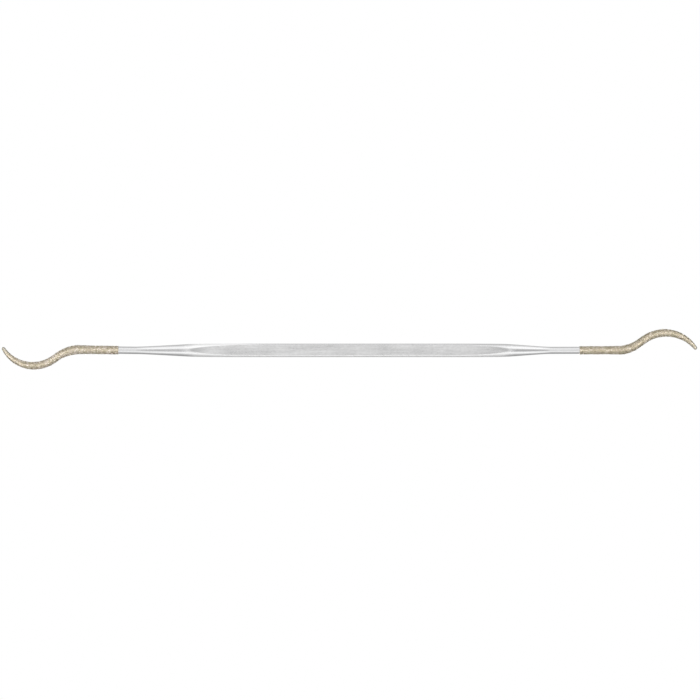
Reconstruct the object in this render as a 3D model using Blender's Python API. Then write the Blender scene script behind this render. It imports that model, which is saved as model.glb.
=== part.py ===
"""Double-ended diamond riffler, 150 mm long: a steel blank with a plated diamond coat on each end.

X runs along the handle and both hooks lie flat in the XY plane. Z = 0 is the handle's underside.
"""

import math
from typing import NamedTuple

import bmesh
import bpy

MM = 0.001

# Handle: a turned bar with four ground flats, so its long corners keep the turned radius.
HANDLE_WIDTH = 2.80
HANDLE_THICKNESS = 2.64
HANDLE_RADIUS = 1.76
HANDLE_AXIS_Z = HANDLE_THICKNESS / 2

# Coated ends: the rod swells where it is bent, thins through the hook and tapers to a round tip.
HOOK_ROD_RADIUS = 0.72
TIP_RADIUS = 0.27
BEND_SWELL = 0.07
BEND_SWELL_REACH = 4.0
BEND_SWELL_MIDDLE = 1.5
NECK_TO_HOOK_LENGTH = 3.5
HOOK_TAPER_START = 18.5
HOOK_TAPER_POWER = 1.5

# Coat: diamond grit held in plated nickel. The clearance keeps coat and blank two closed bodies.
COAT_THICKNESS = 0.10
COAT_CLEARANCE = 0.012

# Facets of the round stretches.
CORNER_STEPS = 6
CONE_STEPS = 9
ARCH_STEPS = 8
ARC_STEP = math.radians(5.5)
STRAIGHT_STEP = 1.6
TIP_STEPS = 5


class End(NamedTuple):
    """One end, in millimetres outward from the handle's middle; the hook turns to the positive side."""

    side: int
    shoulder: float
    shoulder_ease: float
    neck_ease: float
    neck_start: float
    neck_radius: float
    neck_rise: float
    coat_start: float
    bend_start: float
    bend_radius: float
    bend_angle: float
    diagonal: float
    hook_radius: float
    hook_angle: float


LEFT = End(
    side=-1,
    shoulder=22.5,
    shoulder_ease=7.9,
    neck_ease=3.5,
    neck_start=46.3,
    neck_radius=0.80,
    neck_rise=-0.158,
    coat_start=50.0,
    bend_start=58.2,
    bend_radius=8.63,
    bend_angle=math.radians(36.4),
    diagonal=0.78,
    hook_radius=7.52,
    hook_angle=math.radians(94.9),
)
RIGHT = End(
    side=1,
    shoulder=22.5,
    shoulder_ease=10.2,
    neck_ease=3.0,
    neck_start=43.5,
    neck_radius=0.76,
    neck_rise=0.035,
    coat_start=49.6,
    bend_start=58.05,
    bend_radius=7.10,
    bend_angle=math.radians(34.4),
    diagonal=1.92,
    hook_radius=7.99,
    hook_angle=math.radians(88.3),
)


def smoothstep(low, high, value):
    t = min(1.0, max(0.0, (value - low) / (high - low)))
    return t * t * (3 - 2 * t)


def section(radius):
    """A circle cut by the four flats, anticlockwise seen from +X, as (across, up) pairs."""
    side = math.acos(min(1.0, HANDLE_WIDTH / 2 / radius))
    top = math.acos(min(1.0, HANDLE_THICKNESS / 2 / radius))
    points = []
    for quadrant in range(4):
        before, after = (side, top) if quadrant % 2 == 0 else (top, side)
        start = quadrant * math.pi / 2 + before
        turn = math.pi / 2 - before - after
        for step in range(CORNER_STEPS + 1):
            angle = start + turn * step / CORNER_STEPS
            points.append((radius * math.cos(angle), radius * math.sin(angle)))
    return points


def ring(end, outward, sideways, heading, radius):
    """One cross-section of an end, square to its centreline, in millimetres."""
    points = []
    for across, up in section(radius) if radius > 0 else [(0.0, 0.0)]:
        x = end.side * outward - across * math.sin(heading)
        y = end.side * sideways + across * math.cos(heading)
        points.append((x, y, HANDLE_AXIS_Z + up))
    return points


def shoulder_time(end, radius):
    """Where along the taper's curve, from neck 0 to handle 1, the turned radius reaches this value."""
    share = (radius - end.neck_radius) / (HANDLE_RADIUS - end.neck_radius)
    return 0.5 - math.sin(math.asin(1 - 2 * share) / 3)


def taper_rings(end):
    """The turned taper from the handle's full section out to the neck, with the flats' arches."""
    arch_width = math.sqrt(HANDLE_RADIUS**2 - (HANDLE_THICKNESS / 2) ** 2)
    radii = [math.hypot(HANDLE_THICKNESS / 2, arch_width * i / ARCH_STEPS) for i in range(ARCH_STEPS + 1)]
    times = [shoulder_time(end, r) for r in radii + [HANDLE_WIDTH / 2]]
    times += [times[0] * i / CONE_STEPS for i in range(1, CONE_STEPS)]
    outer, inner = end.neck_start - end.neck_ease, end.shoulder + end.shoulder_ease
    rings = []
    for t in sorted(times, reverse=True):
        u = 1 - t
        outward = u**3 * end.neck_start + 3 * u * u * t * outer
        outward += 3 * u * t * t * inner + t**3 * end.shoulder
        radius = end.neck_radius + (HANDLE_RADIUS - end.neck_radius) * (3 * t * t - 2 * t**3)
        rings.append(ring(end, outward, 0.0, 0.0, radius))
    return rings


def centreline(end):
    """The centreline from the neck's start: (distance past the coat's edge, outward, sideways, heading)."""
    lean = math.atan2(end.neck_rise, end.bend_start - end.neck_start)
    here = [end.neck_start, 0.0, lean]
    gone = (end.neck_start - end.coat_start) / math.cos(lean)
    stations = [(gone, *here)]

    def advance(length, turn, steps):
        nonlocal gone
        for _ in range(steps):
            chord_heading = here[2] + turn / steps / 2
            half = abs(turn) / steps / 2
            chord = length / steps * (math.sin(half) / half if half else 1.0)
            here[0] += chord * math.cos(chord_heading)
            here[1] += chord * math.sin(chord_heading)
            here[2] += turn / steps
            gone += length / steps
            stations.append((gone, *here))

    neck = (end.coat_start - end.neck_start) / math.cos(lean)
    coated = (end.bend_start - end.coat_start) / math.cos(lean)
    advance(neck, 0.0, 1)
    advance(coated, 0.0, round(coated / STRAIGHT_STEP))
    advance(end.bend_radius * end.bend_angle, end.bend_angle, round(end.bend_angle / ARC_STEP))
    advance(end.diagonal, 0.0, 1)
    advance(end.hook_radius * end.hook_angle, -end.hook_angle, round(end.hook_angle / ARC_STEP))
    return stations


def rod_radius(end, gone, tip):
    """The bare rod's radius at a distance past the coat's edge; tip is the tip centre's distance."""
    bend = end.bend_start - end.coat_start + BEND_SWELL_MIDDLE
    past_bend = smoothstep(bend, bend + NECK_TO_HOOK_LENGTH, gone)
    radius = end.neck_radius + (HOOK_ROD_RADIUS - end.neck_radius) * past_bend
    swell = max(0.0, 1 - abs(gone - bend) / BEND_SWELL_REACH)
    radius += BEND_SWELL * smoothstep(0.0, 1.0, swell)
    if gone > HOOK_TAPER_START:
        share = (gone - HOOK_TAPER_START) / (tip - HOOK_TAPER_START)
        radius += (TIP_RADIUS - HOOK_ROD_RADIUS) * share**HOOK_TAPER_POWER
    return radius


def end_rings(end, allowance, from_coat):
    """The round end out to its tip, thicker than the bare rod by the allowance; it ends in one point."""
    stations = centreline(end)
    tip, outward, sideways, heading = stations[-1]
    rings = [
        ring(end, *station[1:], rod_radius(end, station[0], tip) + allowance)
        for station in stations[1 if from_coat else 0 :]
    ]
    round_tip = TIP_RADIUS + allowance
    for step in range(1, TIP_STEPS + 1):
        angle = math.pi / 2 * step / TIP_STEPS
        reach = round_tip * math.sin(angle)
        place = (outward + reach * math.cos(heading), sideways + reach * math.sin(heading), heading)
        rings.append(ring(end, *place, round_tip * math.cos(angle) if step < TIP_STEPS else 0))
    return rings


def skin(name, rings, colour, metallic, roughness):
    """A closed body through a chain of rings, whose first and last are single points."""
    count = len(rings[1])
    mesh = bmesh.new()
    chain = []
    for points in rings:
        corners = []
        for x, y, z in points * (count if len(points) == 1 else 1):
            place = (x * MM, y * MM, z * MM)
            same = [v for v in corners[-1:] + corners[:1] if math.dist(v.co, place) < 1e-8]
            corners.append(same[0] if same else mesh.verts.new(place))
        chain.append(corners)
    for first, second in zip(chain, chain[1:]):
        for i in range(count):
            j = (i + 1) % count
            corners = list(dict.fromkeys((first[i], first[j], second[j], second[i])))
            if len(corners) > 2:
                mesh.faces.new(corners)
    data = bpy.data.meshes.new(name)
    mesh.to_mesh(data)
    mesh.free()
    data.shade_smooth()
    data.set_sharp_from_angle(angle=math.radians(25))
    data.materials.append(material(name, colour, metallic, roughness))
    bpy.context.scene.collection.objects.link(bpy.data.objects.new(name, data))


def material(name, colour, metallic, roughness):
    made = bpy.data.materials.new(name)
    made.use_nodes = True
    shader = made.node_tree.nodes["Principled BSDF"]
    shader.inputs["Base Color"].default_value = (*colour, 1.0)
    shader.inputs["Metallic"].default_value = metallic
    shader.inputs["Roughness"].default_value = roughness
    made.diffuse_color = (*colour, 1.0)
    return made


def steel_blank():
    """Tip to tip in one piece: round end, neck, taper, flatted handle, taper, neck, round end."""
    left = taper_rings(LEFT) + end_rings(LEFT, 0.0, False)[1:]
    right = taper_rings(RIGHT) + end_rings(RIGHT, 0.0, False)[1:]
    skin("steel_blank", left[::-1] + right, (0.70, 0.70, 0.71), 1.0, 0.28)


def diamond_coating(name, end):
    """A cup over one end: its inner skin from the tip back to the coat's edge, then its outer skin."""
    inner = end_rings(end, COAT_CLEARANCE, True)
    outer = end_rings(end, COAT_CLEARANCE + COAT_THICKNESS, True)
    chain = inner[::-1] + outer
    skin(name, chain if end.side > 0 else chain[::-1], (0.56, 0.49, 0.37), 0.45, 0.62)


def main():
    for old in list(bpy.data.objects):
        bpy.data.objects.remove(old)
    steel_blank()
    diamond_coating("diamond_coating_left", LEFT)
    diamond_coating("diamond_coating_right", RIGHT)


main()
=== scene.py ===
"""Looks of the double-ended diamond riffler: ground and turned steel, plated nickel bond, diamond grit."""

import itertools
import math
from typing import NamedTuple

import bpy
import numpy as np
from mathutils import Euler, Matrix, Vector, noise


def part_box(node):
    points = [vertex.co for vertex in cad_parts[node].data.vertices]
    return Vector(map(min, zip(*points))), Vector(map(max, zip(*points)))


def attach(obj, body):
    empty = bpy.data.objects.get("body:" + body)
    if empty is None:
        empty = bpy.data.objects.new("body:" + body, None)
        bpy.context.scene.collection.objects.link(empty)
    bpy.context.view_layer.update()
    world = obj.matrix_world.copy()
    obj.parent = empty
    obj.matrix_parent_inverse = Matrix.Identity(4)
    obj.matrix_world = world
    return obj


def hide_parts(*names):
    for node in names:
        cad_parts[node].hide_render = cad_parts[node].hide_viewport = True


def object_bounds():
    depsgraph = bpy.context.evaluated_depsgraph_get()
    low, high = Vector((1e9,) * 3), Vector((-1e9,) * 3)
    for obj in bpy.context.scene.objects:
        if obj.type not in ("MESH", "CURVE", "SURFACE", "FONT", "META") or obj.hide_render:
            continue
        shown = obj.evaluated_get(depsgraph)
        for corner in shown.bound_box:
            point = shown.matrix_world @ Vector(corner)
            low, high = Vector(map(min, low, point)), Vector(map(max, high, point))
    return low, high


MM = 0.001

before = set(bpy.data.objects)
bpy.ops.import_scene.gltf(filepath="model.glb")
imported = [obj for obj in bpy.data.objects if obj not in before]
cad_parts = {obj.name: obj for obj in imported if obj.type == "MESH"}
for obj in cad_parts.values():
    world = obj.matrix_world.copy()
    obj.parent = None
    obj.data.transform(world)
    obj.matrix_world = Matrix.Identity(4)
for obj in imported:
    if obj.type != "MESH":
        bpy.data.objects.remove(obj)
CAD_LOW, CAD_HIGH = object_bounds()

# Lengths below are in millimetres, in the frame's axes: X along the handle, Z = 0 its underside.
SHOULDER = 22.5


def handle_section():
    """(width, thickness, turned radius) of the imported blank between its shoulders."""
    points = np.array([v.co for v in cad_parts["steel_blank"].data.vertices]) / MM
    points = points[np.abs(points[:, 0]) < SHOULDER + 0.1]
    middle = (points[:, 2].min() + points[:, 2].max()) / 2
    radius = np.hypot(points[:, 1], points[:, 2] - middle).max()
    return float(np.ptp(points[:, 1])), float(np.ptp(points[:, 2])), float(radius)


def coat_edge(word, side):
    """How far from the handle's middle this end's coat begins."""
    low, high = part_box(f"diamond_coating_{word}")
    return (low.x if side > 0 else -high.x) / MM


# Handle: four flats ground on a turned bar.
HANDLE_WIDTH, HANDLE_THICKNESS, HANDLE_RADIUS = handle_section()
AXIS_Z = HANDLE_THICKNESS / 2
ARRIS_ROUNDING = 0.06
# Depth over which painted shade fades in where the flats run out into the tapers.
SHADE_RUNOUT_DEPTH = 0.30
# Turned radii, and the stretch towards the left end, of the painted highlight on the long corners.
HIGHLIGHT_CORNER_RADII = (1.24, 1.46)
HIGHLIGHT_LEFT_STRETCH = (16.0, 28.0)

# Rod under the coat.
HOOK_ROD_RADIUS = 0.72
TIP_RADIUS = 0.27
BEND_SWELL = 0.07
BEND_SWELL_REACH = 4.0
BEND_SWELL_MIDDLE = 1.5
NECK_TO_HOOK_LENGTH = 3.5
HOOK_TAPER_START = 18.5
HOOK_TAPER_POWER = 1.5

# Coat: a nickel bond with diamond grains standing out of it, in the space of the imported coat.
COAT_OUTSIDE = 0.112
COAT_FIT = 0.06
BOND_INNER = 0.004
BOND_OUTER = 0.078
BOND_RELIEF = 0.014
EDGE_WANDER = 0.10
EDGE_WANDER_REACH = 1.6
GRAIN_SIZE = 0.14
GRAIN_PITCH = 0.132
ROW_SPACING = 0.87
JITTER_ALONG, JITTER_ROUND = 0.22, 0.24
GRAIN_MISSING = 0.08
GRAIN_TILT = 0.20
GRAIN_STAND = (-0.55, 0.25)
CUBE_SHARE = 0.65
GRAIN_PALENESS = {-1: 0.03, 1: -0.15}
EDGE_FADE = {-1: 0.60, 1: 0.20}
EDGE_MISSING = 0.7
WORN_TIP = 2.2
WORN_SHARE = 0.8
GRAIN_SEEDS = {-1: 11, 1: 29}


class End(NamedTuple):
    """One end, in millimetres outward from the handle's middle; the hook turns to the positive side."""

    side: int
    shoulder: float
    shoulder_ease: float
    neck_ease: float
    neck_start: float
    neck_radius: float
    neck_rise: float
    coat_start: float
    bend_start: float
    bend_radius: float
    bend_angle: float
    diagonal: float
    hook_radius: float
    hook_angle: float


LEFT = End(
    side=-1,
    shoulder=SHOULDER,
    shoulder_ease=7.9,
    neck_ease=3.5,
    neck_start=46.3,
    neck_radius=0.80,
    neck_rise=-0.158,
    coat_start=coat_edge("left", -1),
    bend_start=58.2,
    bend_radius=8.63,
    bend_angle=math.radians(36.4),
    diagonal=0.78,
    hook_radius=7.52,
    hook_angle=math.radians(94.9),
)
RIGHT = End(
    side=1,
    shoulder=SHOULDER,
    shoulder_ease=10.2,
    neck_ease=3.0,
    neck_start=43.5,
    neck_radius=0.76,
    neck_rise=0.035,
    coat_start=coat_edge("right", 1),
    bend_start=58.05,
    bend_radius=7.10,
    bend_angle=math.radians(34.4),
    diagonal=1.92,
    hook_radius=7.99,
    hook_angle=math.radians(88.3),
)


def smoothstep(low, high, value):
    """0 below low, 1 above high, smooth between."""
    t = np.clip((value - low) / (high - low), 0.0, 1.0)
    return t * t * (3 - 2 * t)


# --- the centreline and the rod's radius ---------------------------------------------------------


def segments(end):
    """(length, curvature) of each stretch of the centreline, from the coat's edge to the tip's centre."""
    coated = (end.bend_start - end.coat_start) / math.cos(lean(end))
    return (
        (coated, 0.0),
        (end.bend_radius * end.bend_angle, 1 / end.bend_radius),
        (end.diagonal, 0.0),
        (end.hook_radius * end.hook_angle, -1 / end.hook_radius),
    )


def lean(end):
    """The neck's slope to the X axis."""
    return math.atan2(end.neck_rise, end.bend_start - end.neck_start)


def tip_distance(end):
    """How far past the coat's edge the tip's centre is."""
    return sum(length for length, _ in segments(end))


def along(end, gone):
    """Outward, sideways and heading at distances past the coat's edge, which are negative on the neck."""
    gone = np.asarray(gone, float)
    heading = lean(end)
    start = end.coat_start - end.neck_start
    u, v = end.coat_start, start * math.tan(heading)
    out_u = u + gone * math.cos(heading)
    out_v = v + gone * math.sin(heading)
    out_h = np.full(gone.shape, heading)
    done = 0.0
    for length, curvature in segments(end):
        t = gone - done
        here = t >= 0
        if curvature:
            turned = heading + curvature * t
            du = (np.sin(turned) - math.sin(heading)) / curvature
            dv = (math.cos(heading) - np.cos(turned)) / curvature
        else:
            turned = np.full(t.shape, heading)
            du, dv = t * math.cos(heading), t * math.sin(heading)
        out_u = np.where(here, u + du, out_u)
        out_v = np.where(here, v + dv, out_v)
        out_h = np.where(here, turned, out_h)
        next_heading = heading + curvature * length
        if curvature:
            u += (math.sin(next_heading) - math.sin(heading)) / curvature
            v += (math.cos(heading) - math.cos(next_heading)) / curvature
        else:
            u += length * math.cos(heading)
            v += length * math.sin(heading)
        heading = next_heading
        done += length
    return out_u, out_v, out_h


def rod_radius(end, gone):
    """The bare rod's radius at distances past the coat's edge."""
    bend = end.bend_start - end.coat_start + BEND_SWELL_MIDDLE
    tip = tip_distance(end)
    past_bend = smoothstep(bend, bend + NECK_TO_HOOK_LENGTH, gone)
    radius = end.neck_radius + (HOOK_ROD_RADIUS - end.neck_radius) * past_bend
    swell = np.maximum(0.0, 1 - np.abs(gone - bend) / BEND_SWELL_REACH)
    radius = radius + BEND_SWELL * smoothstep(0.0, 1.0, swell)
    taper = np.clip((gone - HOOK_TAPER_START) / (tip - HOOK_TAPER_START), 0.0, 1.0)
    return radius + (TIP_RADIUS - HOOK_ROD_RADIUS) * taper**HOOK_TAPER_POWER


def on_rod(end, reach, turn, height):
    """Points and outward normals on the coated end.

    reach runs along it and over the tip, turn goes round it, and height stands off the bare rod."""
    reach, turn, height = np.broadcast_arrays(np.asarray(reach, float), turn, height)
    tip = tip_distance(end)
    tip_turn = np.clip((reach - tip) / TIP_RADIUS, 0.0, math.pi / 2)
    gone = np.minimum(reach, tip)
    u, v, heading = along(end, gone)
    radius = rod_radius(end, gone) + height
    tangent = np.stack([np.cos(heading), np.sin(heading), np.zeros_like(heading)], -1)
    across = np.stack([-np.sin(heading), np.cos(heading), np.zeros_like(heading)], -1)
    up = np.array([0.0, 0.0, 1.0])
    radial = across * np.cos(turn)[..., None] + up * np.sin(turn)[..., None]
    normal = radial * np.cos(tip_turn)[..., None] + tangent * np.sin(tip_turn)[..., None]
    points = np.stack([u, v, np.zeros_like(u)], -1) + normal * radius[..., None]
    flip = np.array([end.side, end.side, 1.0])
    place = points * flip + np.array([0.0, 0.0, AXIS_Z])
    return place, normal * flip


def check_fit(end, word):
    """Stops unless this end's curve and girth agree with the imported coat's box."""
    last = tip_distance(end) + TIP_RADIUS * math.pi / 2
    turn = np.linspace(0, 2 * math.pi, 33)[None, :]
    points, _ = on_rod(end, np.linspace(0, last, 200)[:, None], turn, COAT_OUTSIDE)
    packed = np.array(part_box(f"diamond_coating_{word}")) / MM
    made = np.array([points.min((0, 1)), points.max((0, 1))])
    if np.abs(packed - made).max() > COAT_FIT:
        raise RuntimeError(f"the {word} end is {made.round(3)} here and {packed.round(3)} in the frame")


# --- mesh helpers --------------------------------------------------------------------------------


def add_mesh(name, points_mm, faces, smooth=True):
    """A mesh object from points in millimetres and a list of face index arrays of equal-sized faces."""
    data = bpy.data.meshes.new(name)
    data.vertices.add(len(points_mm))
    data.vertices.foreach_set("co", (np.asarray(points_mm) * MM).astype(np.float32).ravel())
    counts = np.concatenate([np.full(len(f), f.shape[1]) for f in faces])
    loops = np.concatenate([f.ravel() for f in faces])
    data.loops.add(len(loops))
    data.loops.foreach_set("vertex_index", loops.astype(np.int32))
    data.polygons.add(len(counts))
    data.polygons.foreach_set("loop_start", (np.cumsum(counts) - counts).astype(np.int32))
    data.polygons.foreach_set("loop_total", counts.astype(np.int32))
    data.update(calc_edges=True)
    data.validate()
    if smooth:
        data.shade_smooth()
    else:
        data.shade_flat()
    made = bpy.data.objects.new(name, data)
    bpy.context.scene.collection.objects.link(made)
    return made


def tube_faces(rings, around, first=0):
    """Quads between successive rings of equal count."""
    i = np.arange(rings - 1)[:, None] * around
    j = np.arange(around)[None, :]
    k = (j + 1) % around
    quads = np.stack([i + j, i + k, i + around + k, i + around + j], -1) + first
    return quads.reshape(-1, 4)


def fan_faces(ring_start, around, pole, outward):
    """Triangles from one ring to a single point; outward says which way they wind."""
    j = np.arange(around)
    k = (j + 1) % around
    tris = np.stack([ring_start + j, ring_start + k, np.full(around, pole)], -1)
    return tris if outward else tris[:, ::-1]


def mark_points(piece, name, values):
    """A value at each point, for the material to read; points past the last value get 0."""
    whole = np.zeros(len(piece.data.vertices), np.float32)
    whole[: len(values)] = values
    piece.data.attributes.new(name, "FLOAT", "POINT").data.foreach_set("value", whole)


# --- steel blank ---------------------------------------------------------------------------------


def softer(first, second, reach):
    """The smaller of two distances, with the crossing rounded over this reach."""
    gap = np.maximum(reach - np.abs(first - second), 0.0) / reach
    return np.minimum(first, second) - gap * gap * reach / 4


def section_points(radius, around):
    """A turned circle cut by the four flats with rounded arrises, its points gathered at the arrises.

    Returns (across, up, share of ground flat) for each point, anticlockwise seen from +X."""
    side = math.acos(min(1.0, HANDLE_WIDTH / 2 / radius))
    top = math.acos(min(1.0, AXIS_Z / radius))
    fine = np.linspace(0, math.pi / 2, 721)
    gather = 10.0 * float(smoothstep(AXIS_Z - 0.10, AXIS_Z, radius))
    density = np.ones_like(fine)
    for arris in (side, math.pi / 2 - top):
        density += gather * np.exp(-(((fine - arris) / 0.04) ** 2))
    total = np.concatenate([[0.0], np.cumsum((density[1:] + density[:-1]) / 2)])
    quarter = around // 4
    first = np.interp(np.arange(quarter) / quarter * total[-1], total, fine)
    mirrored = math.pi - np.interp(
        (quarter - np.arange(quarter)) / quarter * total[-1], total, fine
    )
    half = np.concatenate([first, mirrored])
    angle = np.concatenate([half, half + math.pi])
    cut_top = AXIS_Z / np.maximum(np.abs(np.sin(angle)), 1e-6)
    cut_side = HANDLE_WIDTH / 2 / np.maximum(np.abs(np.cos(angle)), 1e-6)
    flat = softer(cut_top, cut_side, ARRIS_ROUNDING)
    reach = softer(flat, np.full_like(flat, radius), ARRIS_ROUNDING)
    ground = smoothstep(0.02, 0.05, radius - flat)
    return reach * np.cos(angle), reach * np.sin(angle), ground


def shoulder_curve(end, steps):
    """(outward, turned radius) along the taper, from the handle's full section out to the neck."""
    time = 1 - np.linspace(0, 1, steps)
    rest = 1 - time
    outer, inner = end.neck_start - end.neck_ease, end.shoulder + end.shoulder_ease
    outward = (
        rest**3 * end.neck_start
        + 3 * rest**2 * time * outer
        + 3 * rest * time**2 * inner
        + time**3 * end.shoulder
    )
    radius = end.neck_radius + (HANDLE_RADIUS - end.neck_radius) * (3 * time**2 - 2 * time**3)
    return outward, radius


def blank_end(end, around):
    """Rings of one half of the blank, from the handle's shoulder to the tip, as (points, ground)."""
    rings, shares = [], []
    for outward, radius in zip(*shoulder_curve(end, 64)):
        across, up, ground = section_points(radius, around)
        x = np.full(around, end.side * outward)
        rings.append(np.stack([x, across, up + AXIS_Z], -1))
        shares.append(ground)
    turn = np.arange(around) * 2 * math.pi / around
    neck = (end.neck_start - end.coat_start) / math.cos(lean(end))
    tip = tip_distance(end)
    reaches = list(np.linspace(neck, 0.0, 7)[1:]) + list(np.linspace(0.0, tip, 56)[1:])
    reaches += [tip + TIP_RADIUS * a for a in np.linspace(0, math.pi / 2, 6)[1:-1]]
    for reach in reaches:
        points, _ = on_rod(end, np.full(around, reach), turn if end.side > 0 else math.pi - turn, 0.0)
        rings.append(points)
        shares.append(np.zeros(around))
    pole, _ = on_rod(end, np.array([tip + TIP_RADIUS * math.pi / 2]), np.array([0.0]), 0.0)
    return rings, shares, pole[0]


def steel_body():
    """The whole blank as one closed skin, tip to tip."""
    around = 96
    left, left_ground, left_pole = blank_end(LEFT, around)
    right, right_ground, right_pole = blank_end(RIGHT, around)
    across, up, ground = section_points(HANDLE_RADIUS, around)
    middle = []
    for x in np.linspace(-LEFT.shoulder, RIGHT.shoulder, 33)[1:-1]:
        middle.append(np.stack([np.full(around, x), across, up + AXIS_Z], -1))
    rings = left[::-1] + middle + right
    shares = left_ground[::-1] + [ground] * len(middle) + right_ground
    points = np.concatenate([*rings, left_pole[None], right_pole[None]])
    count = len(rings) * around
    faces = [
        tube_faces(len(rings), around),
        np.concatenate(
            [
                fan_faces(0, around, count, False),
                fan_faces(count - around, around, count + 1, True),
            ]
        ),
    ]
    made = add_mesh("steel_blank_ground", points, faces)
    ground = np.concatenate(shares)
    radial = np.hypot(points[:, 1], points[:, 2] - AXIS_Z)
    reached = np.repeat([radial[i : i + around].max() for i in range(0, count, around)], around)
    mark_points(made, "ground", ground)
    # Painted shade: this mask darkens the flats' colour where they run out into the tapers.
    mark_points(made, "runout_shade", 1 - smoothstep(AXIS_Z, AXIS_Z + SHADE_RUNOUT_DEPTH, reached))
    # Painted highlight: the long corners are painted bright on the -Y side, and on both sides towards the
    # left end.
    highlit_side = np.maximum(points[:count, 1] < 0, smoothstep(*HIGHLIGHT_LEFT_STRETCH, -points[:count, 0]))
    mark_points(made, "corner_highlight", highlit_side * (1 - ground) * smoothstep(*HIGHLIGHT_CORNER_RADII, reached))
    made.modifiers.new("Even shading", "WEIGHTED_NORMAL").keep_sharp = True
    return made


# --- coat ----------------------------------------------------------------------------------------


def lumps(points_mm, size, seed):
    """Smooth noise between -1 and 1 with features of this size in millimetres."""
    shift = Vector((seed * 7.31, seed * 3.77, seed * 5.13))
    return np.array([noise.noise(Vector(p) / size + shift) for p in points_mm])


def edge_wander(end, turn):
    """How far the coat's masked edge strays along the rod, in millimetres."""
    circle = np.stack([np.cos(turn), np.sin(turn), np.full_like(turn, end.side * 2.0)], -1)
    return EDGE_WANDER * (lumps(circle, 0.55, 3) + 0.5 * lumps(circle, 0.2, 4))


def nickel_bond(name, end):
    """A cup of plated nickel over the end: inner skin, ragged edge, lumpy outer skin."""
    around = 96
    tip = tip_distance(end)
    turn = np.arange(around) * 2 * math.pi / around
    over_tip = [tip + TIP_RADIUS * a for a in np.linspace(0, math.pi / 2, 8)[1:-1]]
    outer_reach = np.concatenate([[0.0, 0.03, 0.07, 0.12], np.arange(0.2, tip, 0.1), [tip], over_tip])
    inner_reach = np.concatenate([np.linspace(0.0, tip, 48), over_tip])
    wander = edge_wander(end, turn)

    def skin(reaches, outside):
        strays = 1 - smoothstep(0.0, EDGE_WANDER_REACH, reaches)
        reach = reaches[:, None] + wander[None, :] * strays[:, None]
        height = np.full(reach.shape, BOND_INNER)
        if outside:
            rise = smoothstep(-0.02, 0.10, reaches)[:, None]
            height = height + (BOND_OUTER - BOND_INNER) * rise
        points, normals = on_rod(end, reach, turn[None, :], height)
        if outside:
            flat = points.reshape(-1, 3)
            relief = 0.65 * lumps(flat, 0.16, 1) + 0.5 * lumps(flat, 0.42, 2)
            lift = (BOND_RELIEF * relief).reshape(reach.shape) * smoothstep(0.0, 0.2, reaches)[:, None]
            points = points + normals * lift[..., None]
        return points.reshape(-1, 3)

    def pole(height):
        return on_rod(end, np.array([tip + TIP_RADIUS * math.pi / 2]), np.array([0.0]), height)[0]

    inner, outer = skin(inner_reach, False), skin(outer_reach, True)
    inner = inner.reshape(len(inner_reach), around, 3)[::-1].reshape(-1, 3)
    rings = len(inner_reach) + len(outer_reach)
    count = rings * around
    points = np.concatenate([inner, outer, pole(BOND_INNER), pole(BOND_OUTER)])
    quads = tube_faces(rings, around)
    tris = np.concatenate(
        [
            fan_faces(0, around, count, False),
            fan_faces(count - around, around, count + 1, True),
        ]
    )
    return add_mesh(name, points, [quads, tris])


def crystal(corners, face_kinds):
    """(corners, triangles facing out) of a convex crystal of radius 1.

    face_kinds says which faces it has: 1 for the six square to an axis, 3 for the eight across a corner."""
    corners = np.array(corners, float)
    corners /= np.linalg.norm(corners[0])
    tris = []
    for normal in itertools.product((-1, 0, 1), repeat=3):
        kind = int(np.abs(normal).sum())
        if kind not in face_kinds:
            continue
        facing = corners @ np.array(normal)
        ring = np.flatnonzero(facing > facing.max() - 1e-6)
        middle = corners[ring].mean(0)
        first = corners[ring[0]] - middle
        second = np.cross(normal, first)
        spokes = corners[ring] - middle
        ring = ring[np.argsort(np.arctan2(spokes @ second / math.sqrt(kind), spokes @ first))]
        tris += [(ring[0], ring[k], ring[k + 1]) for k in range(1, len(ring) - 1)]
    return corners, np.array(tris)


CUBE = crystal(list(itertools.product((-1, 1), repeat=3)), (1,))
CUT_CUBE = crystal([c for c in itertools.product((-1, 0, 1), repeat=3) if np.abs(c).sum() == 2], (1, 3))


def settled_turns(rng, normals):
    """Rotation matrices that lay a grain's top face roughly along the coat, spun at random."""
    up = normals + GRAIN_TILT * rng.normal(size=normals.shape)
    up /= np.linalg.norm(up, axis=1)[:, None]
    side = np.cross(up, rng.normal(size=up.shape))
    side /= np.linalg.norm(side, axis=1)[:, None]
    return np.stack([side, np.cross(up, side), up], -1)


def grain_sites(end, rng):
    """Where the grains sit: staggered rows round the rod and over the tip, jittered, with some missing."""
    tip = tip_distance(end)
    coat = (BOND_INNER + BOND_OUTER) / 2
    last = tip + TIP_RADIUS * math.pi / 2
    over_tip = GRAIN_PITCH * TIP_RADIUS / (TIP_RADIUS + coat)
    rows = list(np.arange(0.06, tip, GRAIN_PITCH * ROW_SPACING))
    rows += list(np.arange(tip, last, over_tip * ROW_SPACING))
    reach, turn = [], []
    for i, row in enumerate(rows):
        narrowed = math.cos(max(0.0, row - tip) / TIP_RADIUS)
        girth = 2 * math.pi * (float(rod_radius(end, min(row, tip))) + coat) * narrowed
        count = max(1, round(girth / GRAIN_PITCH))
        places = np.arange(count) + 0.5 * (i % 2) + JITTER_ROUND * rng.normal(size=count)
        turn.append(places * 2 * math.pi / count)
        reach.append(row + JITTER_ALONG * GRAIN_PITCH * rng.normal(size=count))
    reach, turn = np.concatenate(reach), np.concatenate(turn)
    thinned = EDGE_MISSING * (1 - smoothstep(0.0, EDGE_FADE[end.side], reach))
    kept = rng.random(len(reach)) > np.maximum(GRAIN_MISSING, thinned)
    reach, turn = np.clip(reach, 0.03, last)[kept], turn[kept]
    strays = 1 - smoothstep(0.0, EDGE_WANDER_REACH, reach)
    return reach + edge_wander(end, turn) * strays, turn


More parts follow.
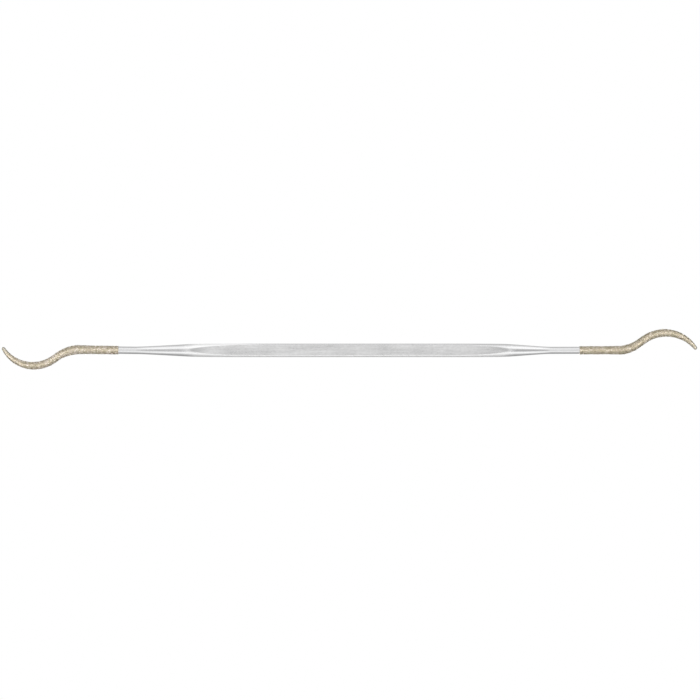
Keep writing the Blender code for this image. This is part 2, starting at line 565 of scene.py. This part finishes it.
def grains(rng, shape, centres, normals, size):
    """Points and triangles of one grain of this shape at each centre."""
    corners, tris = shape
    count = len(centres)
    stretch = rng.uniform(0.80, 1.15, (count, 1, 3))
    knocked = 1 + 0.10 * rng.normal(size=(count, len(corners), 1))
    local = corners[None] * stretch * knocked * size[:, None, None]
    world = np.einsum("nij,nkj->nki", settled_turns(rng, normals), local) + centres[:, None, :]
    faces = tris[None] + (np.arange(count) * len(corners))[:, None, None]
    return world.reshape(-1, 3), faces.reshape(-1, 3)


def diamond_grit(name, end):
    """Thousands of faceted grains, each half sunk in the bond."""
    rng = np.random.default_rng(GRAIN_SEEDS[end.side])
    reach, turn = grain_sites(end, rng)
    count = len(reach)
    size = GRAIN_SIZE / 2 * np.clip(rng.lognormal(0.0, 0.22, count), 0.65, 1.5)
    height = BOND_OUTER + size * rng.uniform(*GRAIN_STAND, count)
    centres, normals = on_rod(end, reach, turn, height)
    tint = rng.random(count) + 1.1 * lumps(centres, 0.42, 6) + GRAIN_PALENESS[end.side]
    kinds = np.searchsorted(np.cumsum(GRAIN_SHARES)[:-1], np.clip(tint, 0.0, 0.999))
    worn = smoothstep(-WORN_TIP, 0.0, reach - tip_distance(end))
    kinds[rng.random(count) < WORN_SHARE * worn] = len(GRAIN_SHARES)
    cubes = rng.random(count) < CUBE_SHARE
    points, faces, slots, used = [], [], [], 0
    for shape, chosen in ((CUBE, cubes), (CUT_CUBE, ~cubes)):
        made_points, made_faces = grains(rng, shape, centres[chosen], normals[chosen], size[chosen])
        points.append(made_points)
        faces.append(made_faces + used)
        slots.append(np.repeat(kinds[chosen], len(shape[1])))
        used += len(made_points)
    made = add_mesh(name, np.concatenate(points), faces, smooth=False)
    for colour in GRAIN_COLOURS:
        made.data.materials.append(grain_material(*colour))
    made.data.polygons.foreach_set("material_index", np.concatenate(slots).astype(np.int32))
    return made


# --- materials -----------------------------------------------------------------------------------


def nodes_of(name):
    """A new material with its node tree and Principled shader."""
    made = bpy.data.materials.new(name)
    made.use_nodes = True
    tree = made.node_tree
    return made, tree, tree.nodes["Principled BSDF"]


def add(tree, kind, **values):
    """A node with its properties set; a value named after an input sets that input."""
    node = tree.nodes.new(kind)
    for key, value in values.items():
        if hasattr(node, key):
            setattr(node, key, value)
        else:
            node.inputs[key.replace("_", " ").title()].default_value = value
    return node


def maths(tree, operation, first, second=None):
    """One arithmetic node; each operand is a number or a socket."""
    node = tree.nodes.new("ShaderNodeMath")
    node.operation = operation
    for socket, value in zip(node.inputs, (first, second)):
        if value is None:
            continue
        if isinstance(value, (int, float)):
            socket.default_value = value
        else:
            tree.links.new(value, socket)
    return node.outputs[0]


def weighed(tree, parts):
    """The sum of noises with these weights, kept around one half."""
    total = 0.5 - sum(weight for _, weight in parts) / 2
    for noise_value, weight in parts:
        step = maths(tree, "MULTIPLY_ADD", noise_value, weight)
        if isinstance(total, float):
            step.node.inputs[2].default_value = total
        else:
            tree.links.new(total, step.node.inputs[2])
        total = step
    return total


def blend_colours(tree, share, first, second):
    """From the first colour to the second; each is a triple or a socket."""
    node = tree.nodes.new("ShaderNodeMix")
    node.data_type = "RGBA"
    tree.links.new(share, node.inputs[0])
    for socket, value in zip((node.inputs[6], node.inputs[7]), (first, second)):
        if isinstance(value, tuple):
            socket.default_value = (*value, 1.0)
        else:
            tree.links.new(value, socket)
    return node.outputs[2]


def stretched_noise(tree, coordinates, scale, detail=3.0, roughness=0.5):
    """Noise whose features are 1 / scale metres long on each axis."""
    mapping = add(tree, "ShaderNodeMapping")
    mapping.inputs["Scale"].default_value = scale
    tree.links.new(coordinates, mapping.inputs["Vector"])
    node = add(tree, "ShaderNodeTexNoise")
    node.inputs["Scale"].default_value = 1.0
    node.inputs["Detail"].default_value = detail
    node.inputs["Roughness"].default_value = roughness
    tree.links.new(mapping.outputs[0], node.inputs["Vector"])
    return node.outputs["Fac"]


def steel_material():
    """Bright steel: drawn and polished where it is turned, brushed lengthwise on the ground flats; painted
    shade darkens the flats where they run out and a painted highlight brightens the long corners.
    """
    made, tree, shader = nodes_of("ground_steel")
    link = tree.links.new
    place = add(tree, "ShaderNodeTexCoord").outputs["Object"]
    ground, runout_shade, corner_highlight = (
        add(tree, "ShaderNodeAttribute", attribute_name=name).outputs["Fac"]
        for name in ("ground", "runout_shade", "corner_highlight")
    )
    streaks = stretched_noise(tree, place, (170.0, 3600.0, 3600.0))
    blotches = stretched_noise(tree, place, (180.0, 420.0, 420.0), 2.0)
    speckle = stretched_noise(tree, place, (1500.0, 3000.0, 3000.0), 2.0, 0.6)
    scratches = stretched_noise(tree, place, (500.0, 26000.0, 26000.0), 2.0, 0.6)
    tone = weighed(tree, ((streaks, 1.0), (blotches, 1.3), (speckle, 1.0)))
    bright = blend_colours(tree, tone, (0.56, 0.56, 0.562), (0.86, 0.86, 0.86))
    # Painted shade: the ground flats darken towards grey where they run out into the tapers.
    bright = blend_colours(tree, maths(tree, "MULTIPLY", runout_shade, 0.5), bright, (0.36, 0.36, 0.362))
    polished = blend_colours(tree, streaks, (0.70, 0.70, 0.705), (0.78, 0.78, 0.785))
    # Painted highlight: the turned corners' colour is lifted to near white under this mask.
    polished = blend_colours(tree, corner_highlight, polished, (0.94, 0.94, 0.94))
    link(blend_colours(tree, ground, polished, bright), shader.inputs["Base Color"])
    shader.inputs["Metallic"].default_value = 1.0
    turned_rough = maths(tree, "MULTIPLY_ADD", streaks, 0.08)
    turned_rough.node.inputs[2].default_value = 0.14
    turned_rough = maths(tree, "ADD", turned_rough, maths(tree, "MULTIPLY", corner_highlight, 0.30))
    ground_rough = maths(tree, "MULTIPLY_ADD", tone, 0.18)
    ground_rough.node.inputs[2].default_value = 0.24
    link(blend_values(tree, ground, turned_rough, ground_rough), shader.inputs["Roughness"])
    link(maths(tree, "MULTIPLY", ground, 0.45), shader.inputs["Anisotropic"])
    round_x = add(tree, "ShaderNodeTangent", direction_type="RADIAL", axis="X")
    link(round_x.outputs[0], shader.inputs["Tangent"])
    bump = tree.nodes.new("ShaderNodeBump")
    bump.inputs["Distance"].default_value = 0.004 * MM
    depth = maths(tree, "MULTIPLY_ADD", ground, 0.5)
    depth.node.inputs[2].default_value = 0.12
    link(depth, bump.inputs["Strength"])
    link(scratches, bump.inputs["Height"])
    link(bump.outputs[0], shader.inputs["Normal"])
    return made


def bond_material():
    """Plated nickel between the grains: warm and dull, with dark specks scattered at random as painted
    shade for its hollows.
    """
    made, tree, shader = nodes_of("nickel_bond")
    link = tree.links.new
    place = add(tree, "ShaderNodeTexCoord").outputs["Object"]
    patches = stretched_noise(tree, place, (1500.0, 1500.0, 1500.0), 3.0)
    shade_specks = stretched_noise(tree, place, (7000.0, 7000.0, 7000.0), 2.0)
    warm = blend_colours(tree, patches, (0.36, 0.31, 0.22), (0.52, 0.46, 0.35))
    # Painted shade: dark specks scattered at random stand for shade in the bond's hollows.
    link(blend_colours(tree, shade_specks, (0.24, 0.20, 0.14), warm), shader.inputs["Base Color"])
    shader.inputs["Metallic"].default_value = 0.8
    rough = maths(tree, "MULTIPLY_ADD", shade_specks, 0.3)
    rough.node.inputs[2].default_value = 0.35
    link(rough, shader.inputs["Roughness"])
    return made


# Colour, roughness and metallic share of each kind of grain; the last kind is the worn one at the tips.
GRAIN_COLOURS = (
    ("grain_umber", (0.22, 0.19, 0.14), 0.45, 0.85),
    ("grain_olive", (0.35, 0.36, 0.25), 0.45, 0.85),
    ("grain_champagne", (0.42, 0.38, 0.31), 0.45, 0.85),
    ("grain_sand", (0.49, 0.44, 0.375), 0.45, 0.85),
    ("grain_rose", (0.50, 0.415, 0.395), 0.45, 0.85),
    ("grain_clear", (0.60, 0.565, 0.53), 0.42, 0.75),
    ("grain_worn", (0.36, 0.36, 0.34), 0.42, 0.85),
)
GRAIN_SHARES = (0.14, 0.18, 0.25, 0.21, 0.14, 0.08)


def grain_material(name, colour, roughness, metallic):
    made = bpy.data.materials.get(name)
    if made:
        return made
    made, _, shader = nodes_of(name)
    shader.inputs["Base Color"].default_value = (*colour, 1.0)
    shader.inputs["Roughness"].default_value = roughness
    shader.inputs["Metallic"].default_value = metallic
    shader.inputs["IOR"].default_value = 2.0
    return made


# --- studio --------------------------------------------------------------------------------------

# The camera looks down on this point from slightly to the -Y side; lengths in millimetres.
AIM = (0.02, 0.08)
FRAME_WIDTH = 151.2
VIEW_LEAN = math.radians(3)

# Brightness seen in a direction, by its angle in degrees round the tool's long axis from the camera's
# side (positive leans to +Y): square to the tool, leaning a little to its ends, and well towards them.
# A grey gap lies between two long panels; towards the ends the panels give way to an even tent.
TENT = (
    (-180, 0.55, 0.35, 0.60),
    (-140, 0.48, 0.42, 0.60),
    (-110, 0.36, 0.50, 0.45),
    (-95, 0.36, 0.70, 0.28),
    (-75, 0.52, 1.14, 0.42),
    (-58, 0.86, 1.42, 0.80),
    (-40, 1.18, 1.40, 1.00),
    (-20, 1.05, 0.56, 1.10),
    (0, 1.05, 0.40, 1.10),
    (20, 1.05, 0.56, 1.10),
    (40, 1.05, 1.40, 1.00),
    (60, 1.05, 1.50, 0.80),
    (75, 0.90, 1.45, 0.42),
    (92, 0.66, 1.30, 0.28),
    (110, 0.60, 1.05, 0.45),
    (135, 0.60, 0.80, 0.60),
    (180, 0.55, 0.40, 0.60),
)
TENT_MOST = 1.5
LEANING = (0.05, 0.22)
FAR_ENDS = (0.36, 0.54)
DIM_ENDS = (0.62, 0.88)
DIMMING = 0.45

# The backdrop is as bright as the lit floor, so no horizon shows. The floor turns evenly white as the
# cosine of the view's slant passes through OVERHEAD.
BACKDROP = 0.876
FLOOR_GREY = 0.96
FLOOR_HALF = 6000.0
FLOOR_GAP = 0.01
OVERHEAD = (0.80, 0.97)

# Two soft boxes slant in from above the ends and light the coat alone.
END_BOX_AWAY = 2000.0
END_BOX_SLANT = math.radians(36)
END_BOX_LENGTH = 1000.0
END_BOX_WIDTH = 1150.0
END_BOX_WATTS = 34.5


def eased(tree, value, low, high):
    """0 below low, 1 above high, smooth between."""
    node = add(tree, "ShaderNodeMapRange", interpolation_type="SMOOTHSTEP")
    tree.links.new(value, node.inputs["Value"])
    node.inputs["From Min"].default_value = low
    node.inputs["From Max"].default_value = high
    return node.outputs[0]


def blend_values(tree, share, first, second):
    """From the first socket's value to the second's."""
    node = tree.nodes.new("ShaderNodeMix")
    for socket, value in zip((node.inputs[0], node.inputs[2], node.inputs[3]), (share, first, second)):
        tree.links.new(value, socket)
    return node.outputs[0]


def tent_light(tree, direction):
    """The tent's brightness for a direction, to be multiplied by TENT_MOST."""
    parts = add(tree, "ShaderNodeSeparateXYZ")
    tree.links.new(direction, parts.inputs[0])
    angle = maths(tree, "ARCTAN2", parts.outputs["Y"], parts.outputs["Z"])
    share = maths(tree, "MULTIPLY_ADD", angle, 0.5 / math.pi)
    share.node.inputs[2].default_value = 0.5 + VIEW_LEAN * 0.5 / math.pi
    ramp = add(tree, "ShaderNodeValToRGB")
    ramp.color_ramp.interpolation = "EASE"
    stops = ramp.color_ramp.elements
    for row in TENT[1:-1]:
        stops.new(row[0] / 360 + 0.5)
    for stop, row in zip(stops, TENT):
        stop.color = (*(level / TENT_MOST for level in row[1:]), 1.0)
    tree.links.new(share, ramp.inputs[0])
    levels = add(tree, "ShaderNodeSeparateColor")
    tree.links.new(ramp.outputs["Color"], levels.inputs[0])
    lean = maths(tree, "ABSOLUTE", parts.outputs["X"])
    near = blend_values(tree, eased(tree, lean, *LEANING), levels.outputs[0], levels.outputs[1])
    whole = blend_values(tree, eased(tree, lean, *FAR_ENDS), near, levels.outputs[2])
    dimmed = maths(tree, "MULTIPLY_ADD", eased(tree, lean, *DIM_ENDS), -DIMMING)
    dimmed.node.inputs[2].default_value = 1.0
    return maths(tree, "MULTIPLY", whole, dimmed)


def studio_world():
    world = bpy.data.worlds.new("studio")
    bpy.context.scene.world = world
    world.use_nodes = True
    tree = world.node_tree
    link = tree.links.new
    tree.nodes.clear()
    direction = add(tree, "ShaderNodeTexCoord").outputs["Generated"]
    tent = add(tree, "ShaderNodeBackground", Strength=TENT_MOST)
    link(tent_light(tree, direction), tent.inputs["Color"])
    plain = add(tree, "ShaderNodeBackground", Strength=1.0)
    plain.inputs["Color"].default_value = (BACKDROP, BACKDROP, BACKDROP, 1.0)
    choice = add(tree, "ShaderNodeMixShader")
    link(add(tree, "ShaderNodeLightPath").outputs["Is Camera Ray"], choice.inputs[0])
    link(tent.outputs[0], choice.inputs[1])
    link(plain.outputs[0], choice.inputs[2])
    link(choice.outputs[0], add(tree, "ShaderNodeOutputWorld").inputs["Surface"])


def floor_material():
    """Pale floor: evenly white from straight above, softly shaded by the tool when seen at a slant."""
    made = bpy.data.materials.new("pale_floor")
    made.use_nodes = True
    tree = made.node_tree
    link = tree.links.new
    tree.nodes.clear()
    geometry = add(tree, "ShaderNodeNewGeometry")
    away = add(tree, "ShaderNodeVectorMath", operation="SCALE")
    link(geometry.outputs["Incoming"], away.inputs[0])
    away.inputs["Scale"].default_value = -1.0
    tent = add(tree, "ShaderNodeEmission", Strength=TENT_MOST)
    link(tent_light(tree, away.outputs[0]), tent.inputs["Color"])
    white = add(tree, "ShaderNodeEmission", Strength=1.0)
    shaded = add(tree, "ShaderNodeBsdfDiffuse")
    shaded.inputs["Color"].default_value = (FLOOR_GREY, FLOOR_GREY, FLOOR_GREY, 1.0)
    facing = maths(tree, "ABSOLUTE", away_from_floor(tree, geometry))
    overhead = eased(tree, facing, *OVERHEAD)
    seen = add(tree, "ShaderNodeMixShader")
    link(overhead, seen.inputs[0])
    link(shaded.outputs[0], seen.inputs[1])
    link(white.outputs[0], seen.inputs[2])
    choice = add(tree, "ShaderNodeMixShader")
    link(add(tree, "ShaderNodeLightPath").outputs["Is Camera Ray"], choice.inputs[0])
    link(tent.outputs[0], choice.inputs[1])
    link(seen.outputs[0], choice.inputs[2])
    link(choice.outputs[0], add(tree, "ShaderNodeOutputMaterial").inputs["Surface"])
    return made


def away_from_floor(tree, geometry):
    """Cosine between the viewing direction and straight up."""
    dot = add(tree, "ShaderNodeVectorMath", operation="DOT_PRODUCT")
    tree.links.new(geometry.outputs["Incoming"], dot.inputs[0])
    dot.inputs[1].default_value = (0.0, 0.0, 1.0)
    return dot.outputs["Value"]


def studio_floor(lowest):
    """A wide square just under the lowest point of the tool, which is given in metres."""
    half = FLOOR_HALF
    corners = [(-half, -half), (half, -half), (half, half), (-half, half)]
    points = np.array([(x, y, lowest / MM - FLOOR_GAP) for x, y in corners])
    floor = add_mesh("floor", points, [np.array([[0, 1, 2, 3]])])
    floor.data.materials.append(floor_material())


def end_boxes(coat):
    """Light along the coat's crest, from both ends; the mirror-bright steel is spared their glare."""
    lit = bpy.data.collections.new("coat")
    for piece in coat:
        lit.objects.link(piece)
    for side in (-1, 1):
        panel = bpy.data.lights.new("end_box", "AREA")
        panel.shape = "RECTANGLE"
        panel.size, panel.size_y = END_BOX_LENGTH * MM, END_BOX_WIDTH * MM
        panel.energy = END_BOX_WATTS
        box = bpy.data.objects.new("end_box", panel)
        bpy.context.scene.collection.objects.link(box)
        box.rotation_euler = (VIEW_LEAN, side * END_BOX_SLANT, 0.0)
        slant = Vector((side * math.sin(END_BOX_SLANT), 0.0, math.cos(END_BOX_SLANT)))
        slant.rotate(Euler((VIEW_LEAN, 0.0, 0.0)))
        box.location = slant * END_BOX_AWAY * MM
        box.light_linking.receiver_collection = lit


def studio_camera():
    """Straight above the tool, through a long lens, with the tool filling the frame's width."""
    lens = bpy.data.cameras.new("camera")
    lens.lens, lens.sensor_width = 180.0, 36.0
    lens.clip_start, lens.clip_end = 0.01, 20.0
    camera = bpy.data.objects.new("camera", lens)
    bpy.context.scene.collection.objects.link(camera)
    away = FRAME_WIDTH * lens.lens / lens.sensor_width
    step = Vector((0.0, -math.sin(VIEW_LEAN), math.cos(VIEW_LEAN))) * away
    camera.location = (Vector((*AIM, AXIS_Z)) + step) * MM
    camera.rotation_euler = (VIEW_LEAN, 0.0, 0.0)
    bpy.context.scene.camera = camera


# --- assembly ------------------------------------------------------------------------------------


def dress(piece, node):
    """Hides the CAD node the piece stands in for and hangs the piece on the root body."""
    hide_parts(node)
    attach(piece, "root")


def main():
    steel = steel_body()
    steel.data.materials.append(steel_material())
    dress(steel, "steel_blank")
    bond_finish = bond_material()
    coat = []
    for end, word in ((LEFT, "left"), (RIGHT, "right")):
        check_fit(end, word)
        bond = nickel_bond(f"nickel_bond_{word}", end)
        bond.data.materials.append(bond_finish)
        grit = diamond_grit(f"diamond_grit_{word}", end)
        for piece in (bond, grit):
            dress(piece, f"diamond_coating_{word}")
            coat.append(piece)
    studio_world()
    studio_floor(CAD_LOW.z)
    end_boxes(coat)
    studio_camera()
    bpy.context.scene.view_settings.view_transform = "Standard"


main()
